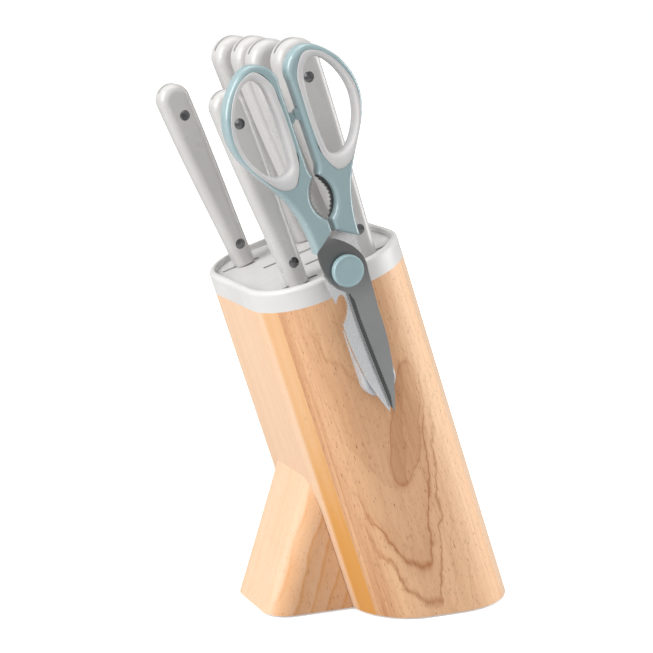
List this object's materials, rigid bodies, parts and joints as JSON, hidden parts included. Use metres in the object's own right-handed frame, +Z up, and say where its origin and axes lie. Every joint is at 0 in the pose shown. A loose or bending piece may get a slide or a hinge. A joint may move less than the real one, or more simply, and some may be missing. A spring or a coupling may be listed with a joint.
{
  "type": "knife block with knives and scissors",
  "caption": "Leaning hardwood block on a wedge foot, with a slotted white cap, riveted white-handled knives that pull out, and kitchen scissors held by a magnet pad on its side.",
  "frame": {"origin": "on the table, where the axis of the leaning block meets it, in the middle of the block across X", "axes": "+Z up, +X towards the side that carries the scissors, -Y the way the block leans and its wedge foot points"},
  "size_m": [0.1539, 0.2005, 0.3486],
  "materials": {
    "wood": "pale close-grained hardwood, thin satin oil",
    "non_slip_sheet": "matt rubber",
    "cap_plastic": "fine satin white moulding",
    "pad_plastic": "satin white moulding",
    "magnet": "bare ferrite",
    "plated_steel": "zinc plated",
    "rivet_steel": "polished steel",
    "handle_plastic": "smooth white moulding",
    "scissor_shell": "glossy blue-grey moulding",
    "scissor_cap": "satin blue-grey moulding",
    "soft_lining": "soft matt white",
    "scissor_steel": "satin ground steel",
    "blade_steel": "satin ground steel"
  },
  "bodies": {
    "block": {"board_right": "wood", "board_left": "wood", "board_front": "wood", "board_rear": "wood", "floor_board": "wood", "wedge_foot": "wood", "wedge_screws": "plated_steel", "base_sheet": "non_slip_sheet", "wedge_sheet": "non_slip_sheet", "cap": "cap_plastic", "magnet_pad_cover": "pad_plastic", "magnet_keeper": "plated_steel", "magnet_pad_screws": "plated_steel", "magnets": "magnet"},
    "paring_knife": {"paring_blade": "blade_steel", "paring_scale_right": "handle_plastic", "paring_scale_left": "handle_plastic", "paring_rivets": "rivet_steel"},
    "utility_knife": {"utility_blade": "blade_steel", "utility_scale_right": "handle_plastic", "utility_scale_left": "handle_plastic", "utility_rivets": "rivet_steel"},
    "carving_knife": {"carving_blade": "blade_steel", "carving_scale_right": "handle_plastic", "carving_scale_left": "handle_plastic", "carving_rivets": "rivet_steel"},
    "chef_knife": {"chef_blade": "blade_steel", "chef_scale_right": "handle_plastic", "chef_scale_left": "handle_plastic", "chef_rivets": "rivet_steel"},
    "santoku_knife": {"santoku_blade": "blade_steel", "santoku_scale_right": "handle_plastic", "santoku_scale_left": "handle_plastic", "santoku_rivets": "rivet_steel"},
    "bread_knife": {"bread_blade": "blade_steel", "bread_scale_right": "handle_plastic", "bread_scale_left": "handle_plastic", "bread_rivets": "rivet_steel"},
    "scissors_rear": {"scissors_rear_blade": "scissor_steel", "scissors_rear_handle": "scissor_shell", "scissors_rear_lining": "soft_lining", "scissors_pivot_pin": "rivet_steel", "scissors_washer": "rivet_steel", "scissors_pivot_cap": "scissor_cap"},
    "scissors_front": {"scissors_front_blade": "scissor_steel", "scissors_front_handle": "scissor_shell", "scissors_front_lining": "soft_lining"}
  },
  "joints": [
    {"name": "paring_draw", "type": "slide", "parent": "block", "child": "paring_knife", "axis": [0, -0.3923, 0.9198], "range_m": [0, 0.097]},
    {"name": "utility_draw", "type": "slide", "parent": "block", "child": "utility_knife", "axis": [0, -0.3681, 0.9298], "range_m": [0, 0.133]},
    {"name": "carving_draw", "type": "slide", "parent": "block", "child": "carving_knife", "axis": [0, -0.3584, 0.9336], "range_m": [0, 0.191]},
    {"name": "chef_draw", "type": "slide", "parent": "block", "child": "chef_knife", "axis": [0, -0.3486, 0.9373], "range_m": [0, 0.193]},
    {"name": "santoku_draw", "type": "slide", "parent": "block", "child": "santoku_knife", "axis": [0, -0.3387, 0.9409], "range_m": [0, 0.175]},
    {"name": "bread_draw", "type": "slide", "parent": "block", "child": "bread_knife", "axis": [0, -0.3272, 0.9449], "range_m": [0, 0.193]},
    {"name": "scissors_lift_off", "type": "slide", "parent": "block", "child": "scissors_rear", "axis": [1, 0, 0], "range_m": [0, 0.12]},
    {"name": "scissors_open", "type": "hinge", "parent": "scissors_rear", "child": "scissors_front", "pos_m": [0.0788, -0.07664, 0.21904], "axis": [1, 0, 0], "range_deg": [0, 50]}
  ]
}
